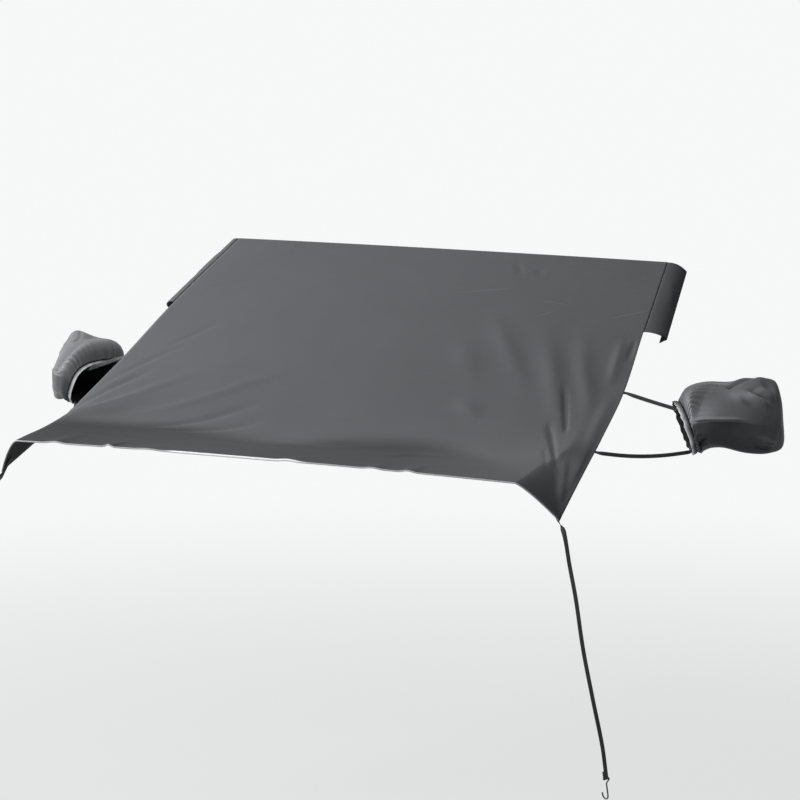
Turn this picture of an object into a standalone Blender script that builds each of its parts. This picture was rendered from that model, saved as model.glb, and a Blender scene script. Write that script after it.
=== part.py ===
"""Windshield frost cover, in the shape it takes when it is fitted.

Metres, +Z up. X runs across the cover towards its left side, Y towards its roof edge. The
origin lies at the middle of the panel, where its underside rests.
"""
import math

import bmesh
import bpy
from mathutils import Vector

COLLECTION = "windshield_frost_cover"
SIDES = ("left", "right")

# Cloth, elastic and the gap kept between pieces that touch
CLOTH = 0.0016
HEM_CLOTH = 0.0032
HEM_DEPTH = 0.022
GAP = 0.0003
WELD = 0.00001
ELASTIC_WIDTH = 0.010
ELASTIC = 0.0012
WHEEL_ELASTIC_WIDTH = 0.012

# Main sizes of the panel: half widths at the roof edge, at the flap's end, where it turns flatter
# and at the hem, how far the roof edge and the hem lie from the origin, and their heights
ROOF_HALF_WIDTH = 0.648
FLAP_HALF_WIDTH = 0.700
WIPER_HALF_WIDTH = 0.759
HEM_HALF_WIDTH = 0.800
ROOF_REACH = 0.290
ROOF_HEIGHT = 0.153
HEM_REACH = 0.765
HEM_HEIGHT = -0.2655
CORNER_DROP = 0.092

# Panel, from the roof edge (t = 0) to the lower hem (t = 1). Each station gives the middle
# line, the half width and the rim, how far the side falls in its outer strip, and the share of
# the half width where that fall starts.
#    t      mid y   mid z   half w  rim y   rim z   fall y  fall z  starts
PANEL_STATIONS = (
    (0.000, ROOF_REACH, ROOF_HEIGHT, ROOF_HALF_WIDTH, 0.319, 0.147, 0.000, 0.000, 0.90),
    (0.275, 0.010, 0.007, FLAP_HALF_WIDTH, 0.052, -0.003, 0.000, 0.000, 0.91),
    (0.493, -0.215, -0.120, 0.738, -0.153, -0.131, 0.000, 0.000, 0.92),
    (0.680, -0.400, -0.240, WIPER_HALF_WIDTH, -0.335, -0.210, 0.000, -0.015, 0.94),
    (0.760, -0.483, -0.267, 0.768, -0.425, -0.232, 0.007, -0.033, 0.95),
    (0.880, -0.620, -0.2695, 0.784, -0.560, -0.254, 0.015, -0.067, 0.93),
    (1.000, -HEM_REACH, HEM_HEIGHT, HEM_HALF_WIDTH, -0.722, -0.282, 0.057, -CORNER_DROP, 0.89),
)
CROWN = 2.2
FALL_CURVE = 1.35
SEAM_END = 0.275

# Small steps over which the panel's and the pouch's directions are measured
PANEL_STEP = 0.004
SEAM_STEP = 0.01
POUCH_STEP = 0.02

# Places of the panel's columns, the same on both sides where it falls, and closer together
# where the folds are; and its rows
FALL_COLUMNS = (0.880, 0.910, 0.935, 0.955, 0.972, 0.987, 1.0)
PLAIN_COLUMNS = 13
FOLDED_COLUMNS = (0.075, 0.150, 0.225, 0.300, 0.340, 0.380, 0.420, 0.460, 0.500, 0.540, 0.580,
                  0.620, 0.660, 0.695, 0.730, 0.760, 0.790, 0.820, 0.850)
PANEL_ROWS = 33
HEM_SPACING = 0.01

# Pulled folds of the cloth, measured on the cloth laid flat: height, half width, and the start
# and end as places across and down. They die out towards their ends and the side edges.
FLAT_HALF_WIDTH = 0.760
FLAT_LENGTH = 1.165
PANEL_FOLDS = (
    (0.0045, 0.034, (0.415, 0.260), (0.635, 0.490)),
    (0.0055, 0.024, (0.720, 0.430), (0.845, 0.670)),
    (0.0045, 0.024, (0.800, 0.350), (0.895, 0.600)),
    (-0.0050, 0.016, (0.800, 0.630), (0.950, 0.880)),
    (0.0050, 0.034, (-0.930, 0.800), (-0.660, 0.650)),
    (-0.0040, 0.024, (-0.820, 0.850), (-0.400, 0.667)),
)
FOLD_FADE = 0.25
FOLD_EDGE = 0.06
FOLD_UP = Vector((0.0, -0.45, 0.89))

# A lifted wave in the hem, as its place and half width across the panel, and its height
HEM_LIFT_AT = -0.735
HEM_LIFT_HALF = 0.045
HEM_LIFT = 0.011
HEM_LIFT_FROM = 0.90

# Door flap: its outer edge from the upper and lower ends of the seam, how far it runs on with
# the panel before it bends, and its turned lip, as steps on past the edge and inward
FLAP_OUTER_TOP = Vector((0.043, 0.034, -0.026))
FLAP_OUTER_END = Vector((0.048, 0.043, -0.021))
FLAP_BEND = 0.5
FLAP_INWARD = Vector((-0.86, 0.10, -0.50)).normalized()
FLAP_LIP = ((0.003, 0.004), (0.001, 0.014), (0.000, 0.026))
FLAP_ROWS = 8
FLAP_COLUMNS = 6
PIPING = 0.0013

# Mirror pouch, from its mouth (v = 0) to its closed outer end (v = 1): the middle of each
# section, its half depth, its reach up and down, its turn about Z and its lean.
#    v      x      y       z       depth  up     down   turn   lean
POUCH_STATIONS = (
    (0.00, 0.882, -0.072, -0.220, 0.098, 0.065, 0.062, -0.22, -0.36),
    (0.05, 0.892, -0.060, -0.211, 0.116, 0.083, 0.072, -0.19, -0.28),
    (0.14, 0.909, -0.046, -0.202, 0.129, 0.086, 0.077, -0.14, -0.16),
    (0.32, 0.942, -0.035, -0.194, 0.131, 0.078, 0.076, -0.05, -0.08),
    (0.55, 0.986, -0.014, -0.194, 0.125, 0.071, 0.077, 0.08, -0.02),
    (0.75, 1.028, 0.014, -0.200, 0.090, 0.060, 0.088, 0.16, -0.04),
    (0.90, 1.061, 0.038, -0.212, 0.055, 0.050, 0.076, 0.20, -0.10),
    (1.00, 1.076, 0.050, -0.218, 0.022, 0.030, 0.042, 0.22, -0.10),
)
POUCH_FRONT_UPPER = 1.45
POUCH_FRONT_LOWER = 2.9
POUCH_REAR = 4.2
MOUTH_CORNER = 2.9
MOUTH_REACH = 0.30
POUCH_AROUND = 48
POUCH_ALONG = 11
GATHERS = 12
GATHER_DEPTH = 0.0032
GATHER_REACH = 0.34
GATHER_FADE = 1.4
POUCH_SPACING = 1.15
POUCH_TIP = 0.006

# Peak of slack cloth at the pouch's outer corner, and the ridge that runs in from it
HORN_ROOT = Vector((1.040, 0.090, -0.140))
HORN_RIDGE = Vector((-0.085, -0.090, 0.020))
HORN_RISE = Vector((0.010, 0.005, 0.038))
HORN_RADIUS = 0.038

# Gathered elastic round the pouch's mouth
MOUTH_BAND = 0.011
MOUTH_THICKNESS = 0.0022
MOUTH_RUFFLE = 0.0016
RUFFLE_PHASE = 0.6

# Mirror straps: where each leaves the panel's side edge (t), where it is sewn inside the
# mouth (degrees round it, from the rear over the top), and how far its middle sags
MIRROR_STRAPS = (
    ("upper", 0.493, 120.0, 0.001),
    ("lower", 0.725, 230.0, 0.011),
)
STRAP_SEWN = 0.020
STRAP_EASE = 0.0009
MOUTH_EASE = 0.0024
STRAP_PLACES = (0.10, 0.30, 0.50, 0.70, 0.90)
STRAP_STEPS = 24

# Lengths of a mirror strap at its panel end before its width starts to hang, at its mouth end
# where its width lies along the mouth, and of each turn between
STRAP_LIES = 0.024
STRAP_LIES_IN = 0.012
STRAP_TURN = 0.034
HANGING = Vector((0.0, 0.0, -1.0))

# Wheel strap: where it is sewn under the panel, and its way down to the hook, as steps from the
# panel's lower corner
CORNER_SEAT = (0.972, 0.978)
WHEEL_STRAP_ROUTE = (
    Vector((0.0115, -0.0025, -0.028)),
    Vector((0.033, -0.015, -0.104)),
    Vector((0.062, -0.039, -0.184)),
    Vector((0.092, -0.062, -0.296)),
    Vector((0.121, -0.068, -0.414)),
    Vector((0.140, -0.051, -0.534)),
    Vector((0.148, -0.044, -0.611)),
)
WHEEL_STRAP_STEPS = 26
WHEEL_STRAP_TURN_STEPS = 5
LOOP_DROP = 0.004
LOOP_STEPS = 6
LOOP_TAIL = 0.018

# Coated wire hook: the half length of its bar, its corners, neck, shank and hooked end
HOOK_WIRE = 0.0019
HOOK_BAR = 0.0085
HOOK_CORNER = (0.0012, 0.0035)
HOOK_NECK = 0.012
HOOK_SHANK = 0.030
HOOK_SHANK_MIDDLE = 0.4
HOOK_RADIUS = 0.011
HOOK_TURN = math.radians(200.0)
HOOK_TURN_STEPS = 8
HOOK_OUTWARD = Vector((0.88, -0.47, 0.0))

DARK_CLOTH = ("frost_cover_cloth", (0.075, 0.080, 0.084), 0.62, 0.0)
POUCH_CLOTH = ("frost_cover_pouch_cloth", (0.090, 0.096, 0.101), 0.50, 0.0)
SEAM_TAPE = ("frost_cover_seam", (0.012, 0.012, 0.014), 0.80, 0.0)
WOVEN_ELASTIC = ("frost_cover_elastic", (0.060, 0.063, 0.066), 0.75, 0.0)
MOUTH_ELASTIC = ("frost_cover_mouth_elastic", (0.150, 0.155, 0.160), 0.60, 0.0)
HOOK_COATING = ("frost_cover_hook_coating", (0.020, 0.020, 0.022), 0.40, 0.0)


def clear_scene():
    for item in list(bpy.data.objects):
        bpy.data.objects.remove(item, do_unlink=True)


def make_collection():
    group = bpy.data.collections.new(COLLECTION)
    bpy.context.scene.collection.children.link(group)
    return group


def make_material(spec):
    name, colour, roughness, metallic = spec
    material = bpy.data.materials.get(name) or bpy.data.materials.new(name)
    material.use_nodes = True
    shader = material.node_tree.nodes["Principled BSDF"]
    shader.inputs["Base Color"].default_value = (*colour, 1.0)
    shader.inputs["Roughness"].default_value = roughness
    shader.inputs["Metallic"].default_value = metallic
    return material


def smoothstep(value):
    value = min(max(value, 0.0), 1.0)
    return value * value * (3.0 - 2.0 * value)


def through(stations, at):
    """Values of a smooth curve through the stations, whose first number is the place."""
    last = len(stations) - 1
    index = 0
    while index < last - 1 and at > stations[index + 1][0]:
        index += 1
    start, end = stations[index], stations[index + 1]
    before = stations[max(index - 1, 0)]
    after = stations[min(index + 2, last)]
    span = end[0] - start[0]
    share = (at - start[0]) / span
    values = []
    for column in range(1, len(start)):
        slope_in = (end[column] - before[column]) / (end[0] - before[0]) * span
        slope_out = (after[column] - start[column]) / (after[0] - start[0]) * span
        cube, square = share ** 3, share ** 2
        values.append(
            (2.0 * cube - 3.0 * square + 1.0) * start[column]
            + (cube - 2.0 * square + share) * slope_in
            + (3.0 * square - 2.0 * cube) * end[column]
            + (cube - square) * slope_out
        )
    return values


def fold_height(across, down):
    """Height of the pulled folds over the smooth cloth."""
    here = Vector((across * FLAT_HALF_WIDTH, down * FLAT_LENGTH))
    total = 0.0
    for height, half_width, start, end in PANEL_FOLDS:
        first = Vector((start[0] * FLAT_HALF_WIDTH, start[1] * FLAT_LENGTH))
        run = Vector((end[0] * FLAT_HALF_WIDTH, end[1] * FLAT_LENGTH)) - first
        share = min(max((here - first).dot(run) / run.length_squared, 0.0), 1.0)
        gap = (here - first - run * share).length
        ends = smoothstep(share / FOLD_FADE) * smoothstep((1.0 - share) / FOLD_FADE)
        total += height * ends * math.exp(-(gap / half_width) ** 2)
    return total * smoothstep((1.0 - abs(across)) / FOLD_EDGE)


def panel_point(across, down):
    """Outer skin of the panel: across is -1 to 1, down is 0 at the roof edge and 1 at the hem."""
    mid_y, mid_z, half, rim_y, rim_z, fall_y, fall_z, starts = through(PANEL_STATIONS, down)
    share = abs(across)
    crown = share ** CROWN
    fall = max((share - starts) / (1.0 - starts), 0.0) ** FALL_CURVE
    lift = HEM_LIFT * smoothstep(1.0 - abs(across - HEM_LIFT_AT) / HEM_LIFT_HALF)
    lift *= smoothstep((down - HEM_LIFT_FROM) / (1.0 - HEM_LIFT_FROM))
    return Vector((
        across * half,
        mid_y + (rim_y - mid_y) * crown + fall_y * fall,
        mid_z + (rim_z - mid_z) * crown + fall_z * fall + lift,
    )) + FOLD_UP * fold_height(across, down)


def panel_normal(across, down):
    step = PANEL_STEP
    side = panel_point(min(across + step, 1.0), down) - panel_point(across - step, down)
    low = min(down + step, 1.0)
    length = panel_point(across, low) - panel_point(across, down - step)
    return length.cross(side).normalized()


def under_panel(across, down, depth):
    return panel_point(across, down) - panel_normal(across, down) * depth


def add_object(name, mesh, spec, group):
    item = bpy.data.objects.new(name, mesh)
    group.objects.link(item)
    mesh.materials.append(make_material(spec))
    return item


def grid_mesh(name, rows, closed=False, end_point=None, flip=False, turn_from=None):
    """Triangles over rows of points, closed round each row if asked, with a fan to an end point.

    Every four points split along the same diagonal, and along the other one in the columns
    from turn_from on, so that the two sides of the cover match.
    """
    mesh_data = bmesh.new()
    vertices = [[mesh_data.verts.new(point) for point in row] for row in rows]
    count = len(rows[0])
    triangles = []
    for upper, lower in zip(vertices, vertices[1:]):
        for here in range(count if closed else count - 1):
            there = (here + 1) % count
            corners = [upper[here], upper[there], lower[there], lower[here]]
            if turn_from is not None and here >= turn_from:
                corners = corners[1:] + corners[:1]
            triangles.append(corners[:3])
            triangles.append([corners[0], corners[2], corners[3]])
    if end_point is not None:
        tip = mesh_data.verts.new(end_point)
        for here in range(count):
            triangles.append([vertices[-1][here], vertices[-1][(here + 1) % count], tip])
    for corners in triangles:
        mesh_data.faces.new(corners[::-1] if flip else corners)
    mesh = bpy.data.meshes.new(name)
    mesh_data.to_mesh(mesh)
    mesh_data.free()
    mesh.shade_smooth()
    return mesh


def solidify(item, thickness, offset=-1.0):
    shell = item.modifiers.new("Thickness", "SOLIDIFY")
    shell.thickness = thickness
    shell.offset = offset
    return shell


def mirrored(point, side):
    return Vector((-point.x if side == "right" else point.x, point.y, point.z))


def make_panel(group):
    plain = [FALL_COLUMNS[0] * step / PLAIN_COLUMNS for step in range(1, PLAIN_COLUMNS)]
    right = [-place for place in reversed([*plain, *FALL_COLUMNS])]
    spread = [*right, 0.0, *FOLDED_COLUMNS, *FALL_COLUMNS]
    downs = [step / PANEL_ROWS for step in range(PANEL_ROWS)]
    length = abs(PANEL_STATIONS[-1][1] - PANEL_STATIONS[-2][1])
    hem_start = 1.0 - HEM_DEPTH / length * (PANEL_STATIONS[-1][0] - PANEL_STATIONS[-2][0])
    downs = [down for down in downs if down < hem_start - HEM_SPACING] + [hem_start, 1.0]
    rows = [[panel_point(across, down) for across in spread] for down in downs]
    mesh = grid_mesh("windshield_panel", rows, flip=True, turn_from=len(right))
    item = add_object("windshield_panel", mesh, DARK_CLOTH, group)
    hem = item.vertex_groups.new(name="hem")
    hem.add(list(range((len(rows) - 1) * len(spread), len(rows) * len(spread))), 1.0, "ADD")
    shell = solidify(item, HEM_CLOTH)
    shell.vertex_group = "hem"
    shell.thickness_vertex_group = CLOTH / HEM_CLOTH
    return item


def seam_point(down):
    return panel_point(1.0, down)


def seam_run(down):
    step = SEAM_STEP
    return (seam_point(down + step) - seam_point(max(down - step, 0.0))).normalized()


def seam_outward(down):
    """Direction that carries the panel on past its side edge, in its own surface."""
    return panel_normal(1.0, down).cross(seam_run(down)).normalized()


def make_flap(group, side):
    """A bent strip along the panel's side edge, with a turned lip at its outer edge."""
    clear = 2.0 * PIPING + 2.0 * GAP
    outer_top = seam_point(0.0) + FLAP_OUTER_TOP
    outer_end = seam_point(SEAM_END) + FLAP_OUTER_END
    rows = []
    for step in range(FLAP_ROWS + 1):
        share = step / FLAP_ROWS
        down = share * SEAM_END
        outward = seam_outward(down)
        start = seam_point(down) + outward * clear
        outer = outer_top.lerp(outer_end, share)
        bend = start + outward * (outer - start).length * FLAP_BEND
        row = []
        for column in range(FLAP_COLUMNS + 1):
            part = column / FLAP_COLUMNS
            row.append(start.lerp(bend, part).lerp(bend.lerp(outer, part), part))
        turn = (outer - bend).normalized()
        row.extend(outer + turn * on + FLAP_INWARD * inward for on, inward in FLAP_LIP)
        rows.append([mirrored(point, side) for point in row])
    name = "door_flap_" + side
    item = add_object(name, grid_mesh(name, rows, flip=side == "left"), DARK_CLOTH, group)
    solidify(item, CLOTH)
    return item


def make_piping(group, side):
    """Round piping in the groove between the panel and the flap."""
    name = "flap_piping_" + side
    curve = bpy.data.curves.new(name, "CURVE")
    curve.dimensions = "3D"
    curve.bevel_depth = PIPING
    curve.bevel_resolution = 2
    curve.use_fill_caps = True
    spline = curve.splines.new("POLY")
    steps = 2 * FLAP_ROWS
    spline.points.add(steps)
    for step in range(steps + 1):
        down = SEAM_END * step / steps
        middle = seam_point(down) + seam_outward(down) * (PIPING + GAP)
        middle -= panel_normal(1.0, down) * CLOTH * 0.5
        spline.points[step].co = (*mirrored(middle, side), 1.0)
    item = bpy.data.objects.new(name, curve)
    group.objects.link(item)
    curve.materials.append(make_material(SEAM_TAPE))
    return item


def pouch_axes(turn, lean):
    depth = Vector((turn, math.sqrt(1.0 - turn * turn), 0.0))
    height = Vector((lean, 0.0, math.sqrt(1.0 - lean * lean)))
    return depth, height


def pouch_point(angle, along):
    """Outer skin of the pouch: angle runs from the rear over the top, along from mouth to end."""
    x, y, z, half, up, down, turn, lean = through(POUCH_STATIONS, along)
    depth_axis, height_axis = pouch_axes(turn, lean)
    cosine, sine = math.cos(angle), math.sin(angle)
    front = POUCH_FRONT_UPPER if sine > 0.0 else POUCH_FRONT_LOWER
    corner = POUCH_REAR if cosine > 0.0 else front
    corner += (MOUTH_CORNER - corner) * smoothstep(1.0 - along / MOUTH_REACH)
    power = 2.0 / corner
    fade = max(1.0 - along / GATHER_REACH, 0.0) ** GATHER_FADE
    gather = math.cos(GATHERS * angle) * fade
    swell = 1.0 + GATHER_DEPTH / half * gather
    depth = math.copysign(abs(cosine) ** power, cosine) * half * swell
    height = math.copysign(abs(sine) ** power, sine) * (up if sine > 0.0 else down) * swell
    point = Vector((x, y, z)) + depth_axis * depth + height_axis * height
    share = (point - HORN_ROOT).dot(HORN_RIDGE) / HORN_RIDGE.length_squared
    share = min(max(share, 0.0), 1.0)
    gap = (point - HORN_ROOT - HORN_RIDGE * share).length
    return point + HORN_RISE * (1.0 - share) * math.exp(-(gap / HORN_RADIUS) ** 2)


def pouch_normal(angle, along):
    step = POUCH_STEP
    low = max(along - step, 0.0)
    round_it = pouch_point(angle + step, along) - pouch_point(angle - step, along)
    outwards = pouch_point(angle, along + step) - pouch_point(angle, low)
    return round_it.cross(outwards).normalized()


def make_pouch(group, side):
    angles = [2.0 * math.pi * step / POUCH_AROUND for step in range(POUCH_AROUND)]
    places = [(step / POUCH_ALONG) ** POUCH_SPACING for step in range(POUCH_ALONG + 1)]
    rows = [[mirrored(pouch_point(angle, along), side) for angle in angles] for along in places]
    tip = Vector((POUCH_STATIONS[-1][1] + POUCH_TIP, *POUCH_STATIONS[-1][2:4]))
    name = "mirror_pouch_" + side
    mesh = grid_mesh(name, rows, closed=True, end_point=mirrored(tip, side),
                     flip=side == "right")
    item = add_object(name, mesh, POUCH_CLOTH, group)
    solidify(item, CLOTH)
    return item


def mouth_axis():
    """Direction along the pouch at its mouth, from the panel's side outwards."""
    turn, lean = POUCH_STATIONS[0][7], POUCH_STATIONS[0][8]
    depth_axis, height_axis = pouch_axes(turn, lean)
    return depth_axis.cross(height_axis).normalized()


def make_mouth_elastic(group, side):
    """A ruffled band in front of the pouch's edge, which draws the mouth in."""
    axis = mouth_axis()
    corners = ((0.0, 0.0), (0.0, -1.0), (1.0, -1.0), (1.0, 0.0))
    rows = []
    for inboard, inside in corners:
        row = []
        for step in range(POUCH_AROUND):
            angle = 2.0 * math.pi * step / POUCH_AROUND
            ruffle = MOUTH_RUFFLE * inboard * math.cos(2.0 * GATHERS * angle + RUFFLE_PHASE)
            point = pouch_point(angle, 0.0) - axis * (GAP + MOUTH_BAND * inboard)
            normal = pouch_normal(angle, 0.0)
            normal = (normal - axis * normal.dot(axis)).normalized()
            point += normal * (ruffle + MOUTH_THICKNESS * inside)
            row.append(mirrored(point, side))
        rows.append(row)
    rows.append(rows[0])
    name = "pouch_elastic_" + side
    mesh = grid_mesh(name, rows, closed=True, flip=side == "right")
    welded = bmesh.new()
    welded.from_mesh(mesh)
    bmesh.ops.remove_doubles(welded, verts=welded.verts, dist=WELD)
    bmesh.ops.recalc_face_normals(welded, faces=welded.faces)
    welded.to_mesh(mesh)
    welded.free()
    return add_object(name, mesh, MOUTH_ELASTIC, group)


def smooth_route(points, steps):
    """Evenly spread points of one smooth curve through the given ones."""
    distances = [0.0]
    for start, end in zip(points, points[1:]):
        distances.append(distances[-1] + (end - start).length)
    stations = [(place, *point) for place, point in zip(distances, points)]
    return [Vector(through(stations, distances[-1] * step / steps)) for step in range(steps + 1)]


def ribbon(name, centres, widths, width, spec, group, side):
    """A flat strap along the centres, its width squared to its run from the directions given."""
    rows = []
    last = len(centres) - 1
    for place, (centre, direction) in enumerate(zip(centres, widths)):
        run = (centres[min(place + 1, last)] - centres[max(place - 1, 0)]).normalized()
        half = (direction - run * direction.dot(run)).normalized() * width * 0.5
        rows.append([mirrored(centre - half, side), mirrored(centre + half, side)])
    item = add_object(name, grid_mesh(name, rows, flip=side == "right"), spec, group)
    solidify(item, ELASTIC, offset=0.0)
    return item


def make_mirror_strap(group, side, level, down, degrees, sag):
    """Flat elastic, sewn under the panel's side edge and inside the pouch's mouth."""
    depth = CLOTH + STRAP_EASE + ELASTIC * 0.5
    inset = STRAP_SEWN / seam_point(down).x
    sewn = under_panel(1.0 - inset, down, depth)
    leaves = under_panel(1.0, down, depth) + seam_outward(down) * 0.5 * ELASTIC_WIDTH
    edge_run = seam_run(down)
    angle = math.radians(degrees)
    wall = MOUTH_THICKNESS + MOUTH_RUFFLE + MOUTH_EASE + ELASTIC * 0.5
    axis = mouth_axis()
    normal = pouch_normal(angle, 0.0)
    normal = (normal - axis * normal.dot(axis)).normalized()
    lip = pouch_point(angle, 0.0) - axis * MOUTH_BAND - normal * wall
    inside = lip + axis * (MOUTH_BAND - GAP)
    free = []
    for share in STRAP_PLACES:
        hangs = 4.0 * share * (1.0 - share) * sag
        free.append(leaves.lerp(lip, share) + HANGING * hangs)
    centres = smooth_route([sewn, leaves, *free, lip, inside], STRAP_STEPS)
    length = sum((end - start).length for start, end in zip(centres, centres[1:]))
    round_mouth = axis.cross(normal)
    widths = []
    for step in range(STRAP_STEPS + 1):
        gone = length * step / STRAP_STEPS
        leaving = smoothstep((gone - STRAP_LIES) / STRAP_TURN)
        entering = smoothstep(1.0 - (length - gone - STRAP_LIES_IN) / STRAP_TURN)
        widths.append(edge_run.lerp(HANGING, leaving).lerp(round_mouth, entering))
    ribbon("mirror_strap_" + level + "_" + side, centres, widths, ELASTIC_WIDTH,
           WOVEN_ELASTIC, group, side)


def wheel_strap_points():
    return [seam_point(1.0) + step for step in WHEEL_STRAP_ROUTE]


def hook_frame():
    """Place, downward run, width and outward direction of the wheel strap's lower end."""
    before, end = wheel_strap_points()[-2:]
    run = (end - before).normalized()
    outward = (HOOK_OUTWARD - run * HOOK_OUTWARD.dot(run)).normalized()
    width = outward.cross(run).normalized()
    return end, run, width, outward


def make_wheel_strap(group, side):
    """Flat elastic from under the panel's lower corner to a sewn loop round the hook's bar."""
    end, run, width, outward = hook_frame()
    loop = HOOK_WIRE + GAP + ELASTIC * 0.5
    depth = HEM_CLOTH + STRAP_EASE + ELASTIC * 0.5
    across, down = CORNER_SEAT
    seat = under_panel(across, down, depth)
    corner = under_panel(1.0, 1.0, depth + STRAP_EASE)
    points = [seat, corner, *wheel_strap_points()]
    centres = smooth_route(points, WHEEL_STRAP_STEPS)
    seat_width = (corner - seat).cross(panel_normal(across, down)).normalized()
    widths = []
    for step in range(len(centres)):
        widths.append(seat_width.lerp(width, smoothstep(step / WHEEL_STRAP_TURN_STEPS)))
    bar = end + run * LOOP_DROP - outward * loop
    for step in range(1, LOOP_STEPS):
        turn = math.pi * step / LOOP_STEPS
        centres.append(bar + outward * loop * math.cos(turn) + run * loop * math.sin(turn))
        widths.append(width)
    centres.append(bar - outward * loop)
    centres.append(bar - outward * (loop - GAP) - run * LOOP_TAIL)
    widths.extend([width, width])
    ribbon("wheel_strap_" + side, centres, widths, WHEEL_ELASTIC_WIDTH, WOVEN_ELASTIC, group,
           side)
    return bar, run, width, outward


def make_hook(group, side, bar, run, width, outward):
    """Coated wire: a bar through the strap's loop, one bent side, a shank and an inward hook."""
    beyond, drop = HOOK_CORNER
    neck = bar + run * HOOK_NECK
    points = [bar - width * HOOK_BAR, bar + width * HOOK_BAR]
    points.append(bar + width * (HOOK_BAR + beyond) + run * drop)
    points.append(neck)
    points.append(neck + run * HOOK_SHANK * HOOK_SHANK_MIDDLE)
    centre = neck + run * HOOK_SHANK - outward * HOOK_RADIUS
    for step in range(HOOK_TURN_STEPS + 1):
        turn = HOOK_TURN * step / HOOK_TURN_STEPS
        points.append(centre + outward * HOOK_RADIUS * math.cos(turn)
                      + run * HOOK_RADIUS * math.sin(turn))
    name = "wheel_hook_" + side
    curve = bpy.data.curves.new(name, "CURVE")
    curve.dimensions = "3D"
    curve.bevel_depth = HOOK_WIRE
    curve.bevel_resolution = 2
    curve.use_fill_caps = True
    spline = curve.splines.new("POLY")
    spline.points.add(len(points) - 1)
    for place, point in zip(spline.points, points):
        place.co = (*mirrored(point, side), 1.0)
    item = bpy.data.objects.new(name, curve)
    group.objects.link(item)
    curve.materials.append(make_material(HOOK_COATING))
    return item


def main():
    clear_scene()
    group = make_collection()
    make_panel(group)
    for side in SIDES:
        make_flap(group, side)
        make_piping(group, side)
        make_pouch(group, side)
        make_mouth_elastic(group, side)
        for level, down, degrees, sag in MIRROR_STRAPS:
            make_mirror_strap(group, side, level, down, degrees, sag)
        bar, run, width, outward = make_wheel_strap(group, side)
        make_hook(group, side, bar, run, width, outward)


main()
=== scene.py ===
"""Looks of the fitted windshield frost cover: cloth with its folds, elastic, straps and a studio.

Metres, in the row frame: +Z up, X across the cover, +Y towards its roof edge.
"""
import math

import bmesh
import bpy
import numpy as np
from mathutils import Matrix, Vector


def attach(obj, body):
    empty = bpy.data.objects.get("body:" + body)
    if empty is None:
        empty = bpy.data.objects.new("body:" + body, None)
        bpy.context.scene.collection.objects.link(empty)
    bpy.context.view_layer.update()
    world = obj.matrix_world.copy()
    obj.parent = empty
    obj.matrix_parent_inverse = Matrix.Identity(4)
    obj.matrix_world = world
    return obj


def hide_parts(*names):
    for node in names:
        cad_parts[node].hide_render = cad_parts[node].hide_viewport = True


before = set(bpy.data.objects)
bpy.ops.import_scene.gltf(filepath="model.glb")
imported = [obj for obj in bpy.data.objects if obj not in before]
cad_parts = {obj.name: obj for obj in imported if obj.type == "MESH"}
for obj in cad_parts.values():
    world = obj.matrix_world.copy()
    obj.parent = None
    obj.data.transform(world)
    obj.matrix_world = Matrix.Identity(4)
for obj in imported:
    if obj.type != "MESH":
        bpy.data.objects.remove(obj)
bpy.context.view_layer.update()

SIDES = (("left", 1.0), ("right", -1.0))

# Camera: where it looks, how far away it stands, and its lens
AZIMUTH = math.radians(27.3)
ELEVATION = math.radians(8.4)
LOOKS_AT = Vector((0.0213, 0.0, -0.220))
DISTANCE = 10.594
LENS = 180.0
SENSOR = 36.0

# Cloth, elastic and gaps, as in the solids
CLOTH = 0.0016
HEM_CLOTH = 0.0032
HEM_DEPTH = 0.022
GAP = 0.0003
ELASTIC_WIDTH = 0.010
ELASTIC = 0.0012
WHEEL_ELASTIC_WIDTH = 0.012
ELASTIC_RIB = 0.0014
UPWARD = Vector((0.0, 0.0, 1.0))
HANGING = -UPWARD

# Section of a strap with rounded edges, in shares of its width and thickness
STRAP_SECTION = (
    (-0.50, 0.00), (-0.46, 0.36), (-0.30, 0.50), (0.00, 0.50), (0.30, 0.50), (0.46, 0.36),
    (0.50, 0.00), (0.46, -0.36), (0.30, -0.50), (0.00, -0.50), (-0.30, -0.50), (-0.46, -0.36),
)

# Panel stations from the roof edge to the hem
#    t      mid y   mid z   half w  rim y   rim z   fall y  fall z  starts
PANEL_STATIONS = (
    (0.000, 0.290, 0.153, 0.648, 0.319, 0.147, 0.000, 0.000, 0.90),
    (0.275, 0.010, 0.007, 0.700, 0.052, -0.003, 0.000, 0.000, 0.91),
    (0.493, -0.215, -0.120, 0.738, -0.153, -0.131, 0.000, 0.000, 0.92),
    (0.680, -0.400, -0.240, 0.759, -0.335, -0.210, 0.000, -0.015, 0.94),
    (0.760, -0.483, -0.267, 0.768, -0.425, -0.232, 0.007, -0.033, 0.95),
    (0.880, -0.620, -0.2695, 0.784, -0.560, -0.254, 0.015, -0.067, 0.93),
    (1.000, -0.765, -0.2655, 0.800, -0.722, -0.282, 0.057, -0.092, 0.89),
)
CROWN = 2.2
FALL_CURVE = 1.6
HEM_FALL_CURVE = 1.35
SEAM_END = 0.275
PANEL_SIZE = (1.52, 1.165)
PLAIN_COLUMNS = 130
FOLDED_COLUMNS = 96
FOLDED_FROM = 0.62
PANEL_ROWS = 185

# Finer form of the side fall: how much earlier it starts, and its flat outer strip
FALL_EARLY = 0.030
FALL_FLAT = 0.45
FALL_HEM_SHARE = 0.12

# Lifted waves of the hem: place across, half width across, height
HEM_LIFTS = (
    (-0.735, 0.050, 0.004),
    (-0.525, 0.022, 0.006),
    (-0.380, 0.060, 0.002),
    (0.130, 0.050, 0.003),
    (0.420, 0.040, 0.003),
    (0.540, 0.035, 0.004),
)

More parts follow.
